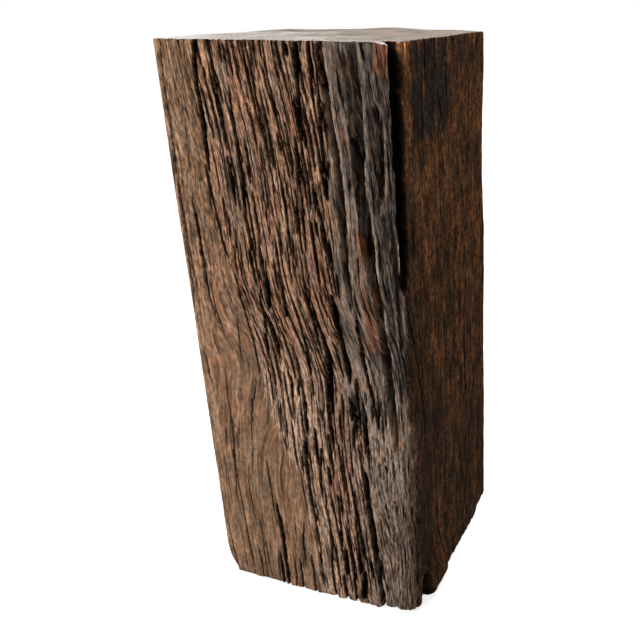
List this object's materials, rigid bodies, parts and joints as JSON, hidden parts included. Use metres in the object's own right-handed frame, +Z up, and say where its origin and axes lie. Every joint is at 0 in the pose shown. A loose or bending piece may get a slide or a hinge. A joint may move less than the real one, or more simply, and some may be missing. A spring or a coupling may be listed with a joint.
{
  "type": "timber column base",
  "caption": "Squared block of weathered old hardwood that stands on end, used as a column base, plinth or pedestal.",
  "frame": {"origin": "centre of the block's footprint, on the surface it stands on", "axes": "+Z up along the grain, +X to the right along the broad grooved front face, +Y from that front face to the back"},
  "size_m": [0.26, 0.26, 0.65],
  "materials": {
    "weathered_hardwood": "bare weathered hardwood, deeply grooved along the grain, with a sawn top"
  },
  "bodies": {
    "root": {"timber_block": "weathered_hardwood"}
  },
  "joints": []
}
